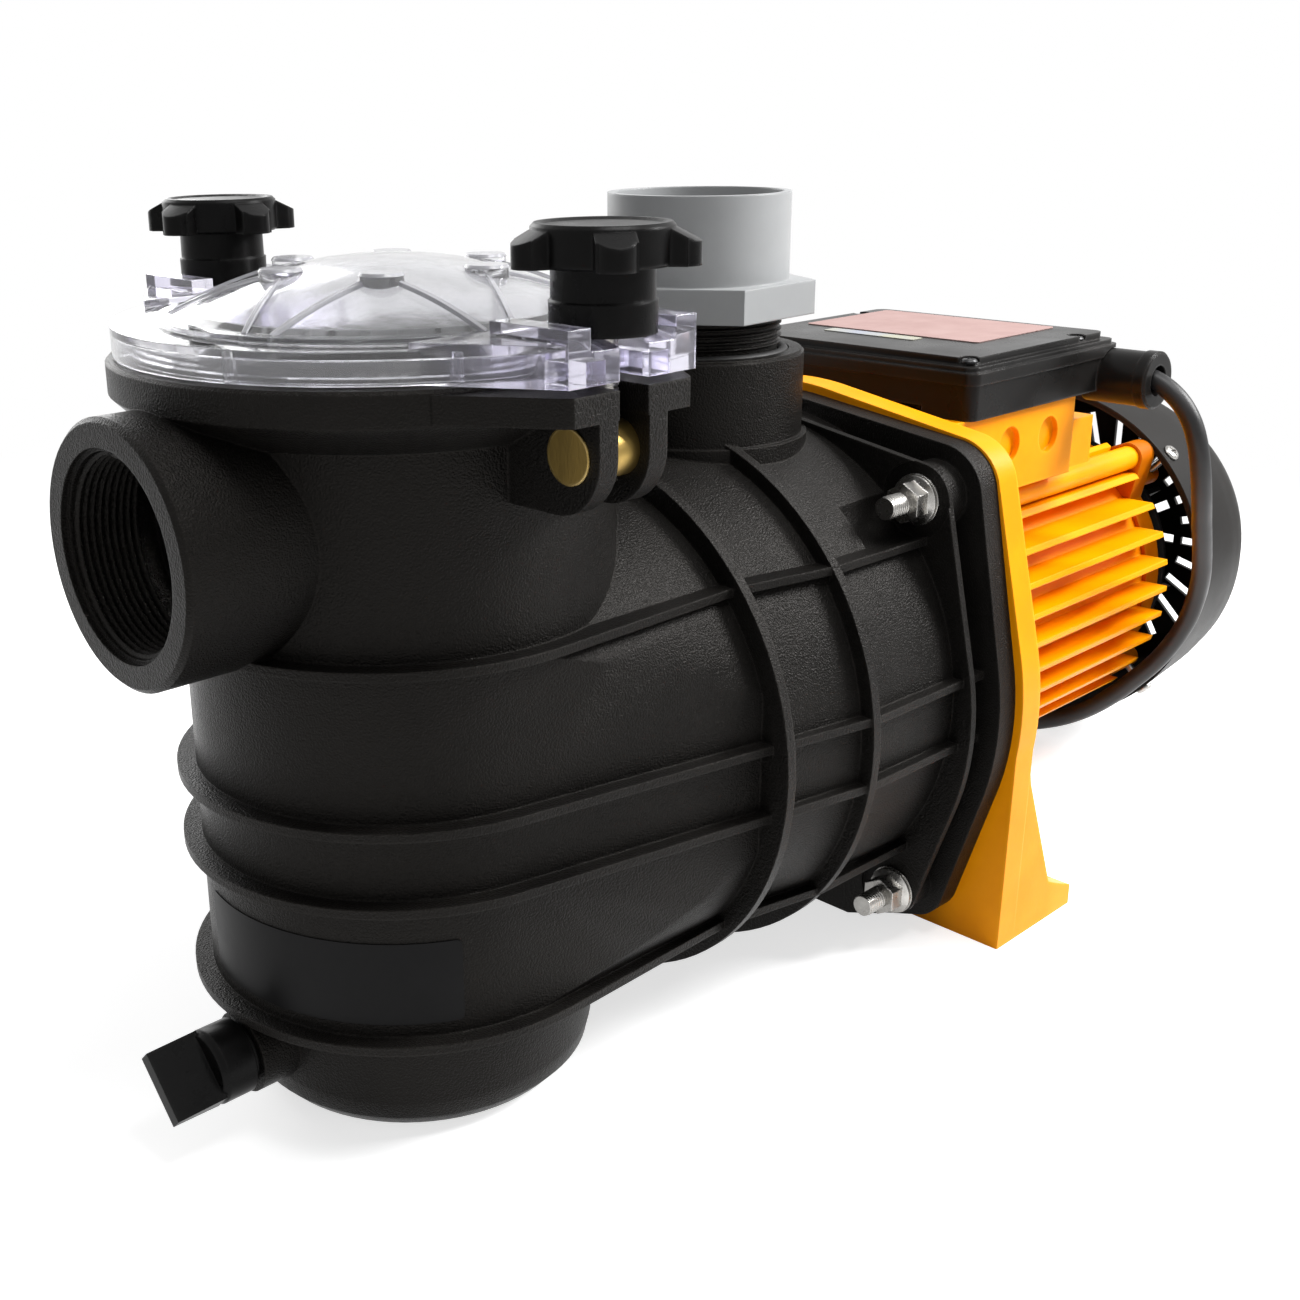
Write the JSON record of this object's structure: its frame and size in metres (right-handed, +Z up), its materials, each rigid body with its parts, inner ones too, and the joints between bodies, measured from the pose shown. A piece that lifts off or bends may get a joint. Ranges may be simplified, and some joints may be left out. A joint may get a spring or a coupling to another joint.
{
  "type": "pool pump",
  "caption": "Self-priming pool pump with a clear-lidded strainer pot held by two swing clamps, a threaded inlet and outlet, and a finned electric motor on a foot.",
  "frame": {"origin": "on the floor, on the upright axis of the strainer pot", "axes": "+X runs along the motor shaft from the strainer towards the fan, +Y to the left when looking along +X, +Z up"},
  "size_m": [0.5815, 0.3612, 0.2884],
  "materials": {
    "body_plastic": "black glass-filled moulded plastic with a fine grain",
    "basket_plastic": "pale translucent moulded plastic",
    "black_rubber": "black moulded rubber",
    "clear_lid": "clear moulded plastic with a faint violet tint",
    "brass": "turned brass, a little dulled",
    "stainless": "stainless steel",
    "knob_plastic": "black moulded plastic, slightly glossy",
    "grey_pipe_plastic": "grey moulded pipe plastic",
    "impeller_plastic": "cream moulded plastic",
    "ceramic": "white ceramic",
    "carbon": "carbon ring and steel spring housing",
    "amber_paint": "glossy amber paint on cast aluminium",
    "bearing_steel": "ground bearing steel",
    "lamination_steel": "stacked electrical steel",
    "copper": "varnished copper windings",
    "rotor_aluminium": "cast rotor",
    "shaft_steel": "ground steel shaft",
    "amber_paint_deep": "darker amber paint on cast aluminium",
    "fan_plastic": "black moulded plastic",
    "cover_plastic": "dark grey satin plastic",
    "box_plastic": "black moulded plastic, half gloss",
    "terminal_plastic": "cream terminal strip",
    "capacitor_case": "pale capacitor case",
    "cable_rubber": "black cable sheath",
    "tie_plastic": "white nylon tie",
    "pin_metal": "plated pins"
  },
  "bodies": {
    "pump": {"pump_body": "body_plastic", "strainer_basket": "basket_plastic", "lid_gasket": "black_rubber", "strainer_lid": "clear_lid", "outlet_nipple": "knob_plastic", "outlet_seal": "black_rubber", "outlet_adaptor": "grey_pipe_plastic", "diffuser": "body_plastic", "seal_plate": "body_plastic", "casing_seal": "black_rubber", "seal_seat": "ceramic", "flange_studs": "stainless", "flange_nuts": "stainless", "flange_washers": "stainless", "motor_bracket": "amber_paint", "front_bearing_outer": "bearing_steel", "motor_frame": "amber_paint", "stator_core": "lamination_steel", "stator_windings": "copper", "rear_bearing_outer": "bearing_steel", "rear_shield": "amber_paint_deep", "through_bolts": "stainless", "fan_cover": "cover_plastic", "cover_screws": "stainless", "terminal_base": "box_plastic", "terminal_lid": "box_plastic", "terminal_screws": "stainless", "terminal_block": "terminal_plastic", "capacitor": "capacitor_case", "gland_nut": "box_plastic", "gland_sleeve": "black_rubber", "mains_cable": "cable_rubber", "cable_coil": "cable_rubber", "cable_tie": "tie_plastic", "mains_plug": "cable_rubber", "plug_pins": "pin_metal"},
    "rotor": {"impeller": "impeller_plastic", "rotary_seal": "carbon", "front_bearing_inner": "bearing_steel", "rotor_core": "rotor_aluminium", "motor_shaft": "shaft_steel", "rear_bearing_inner": "bearing_steel", "cooling_fan": "fan_plastic"},
    "near_clamp": {"near_clamp_barrel": "brass", "near_swing_bolt": "stainless"},
    "near_washer": {"near_knob_washer": "stainless"},
    "near_knob": {"near_knob": "knob_plastic", "near_knob_insert": "brass"},
    "far_clamp": {"far_clamp_barrel": "brass", "far_swing_bolt": "stainless"},
    "far_washer": {"far_knob_washer": "stainless"},
    "far_knob": {"far_knob": "knob_plastic", "far_knob_insert": "brass"},
    "drain_seal": {"drain_seal": "black_rubber"},
    "drain_plug": {"drain_plug": "knob_plastic"}
  },
  "joints": [
    {"name": "shaft_spin", "type": "hinge", "parent": "pump", "child": "rotor", "pos_m": [0.3, 0, 0.097], "axis": [1, 0, 0], "continuous": true},
    {"name": "near_clamp_swing", "type": "hinge", "parent": "pump", "child": "near_clamp", "pos_m": [0, -0.0934, 0.228], "axis": [1, 0, 0], "range_deg": [0, 100]},
    {"name": "near_knob_lift", "type": "slide", "parent": "near_clamp", "child": "near_washer", "axis": [0, 0, 1], "range_m": [0, 0.0075]},
    {"name": "near_knob_turn", "type": "hinge", "parent": "near_washer", "child": "near_knob", "pos_m": [0, -0.0934, 0.27], "axis": [0, 0, 1], "range_deg": [0, 2160]},
    {"name": "far_clamp_swing", "type": "hinge", "parent": "pump", "child": "far_clamp", "pos_m": [0, 0.0934, 0.228], "axis": [-1, 0, 0], "range_deg": [0, 100]},
    {"name": "far_knob_lift", "type": "slide", "parent": "far_clamp", "child": "far_washer", "axis": [0, 0, 1], "range_m": [0, 0.0075]},
    {"name": "far_knob_turn", "type": "hinge", "parent": "far_washer", "child": "far_knob", "pos_m": [0, 0.0934, 0.27], "axis": [0, 0, 1], "range_deg": [0, 2160]},
    {"name": "drain_plug_out", "type": "slide", "parent": "pump", "child": "drain_seal", "axis": [-1, 0, 0], "range_m": [0, 0.01]},
    {"name": "drain_plug_turn", "type": "hinge", "parent": "drain_seal", "child": "drain_plug", "pos_m": [-0.08, 0, 0.0266], "axis": [-1, 0, 0], "range_deg": [0, 1800]}
  ],
  "couplings": [
    {"joint": "near_knob_turn", "follows": "near_knob_lift", "rad_per_m": 5026},
    {"joint": "far_knob_turn", "follows": "far_knob_lift", "rad_per_m": 5026},
    {"joint": "drain_plug_turn", "follows": "drain_plug_out", "rad_per_m": 3141}
  ]
}
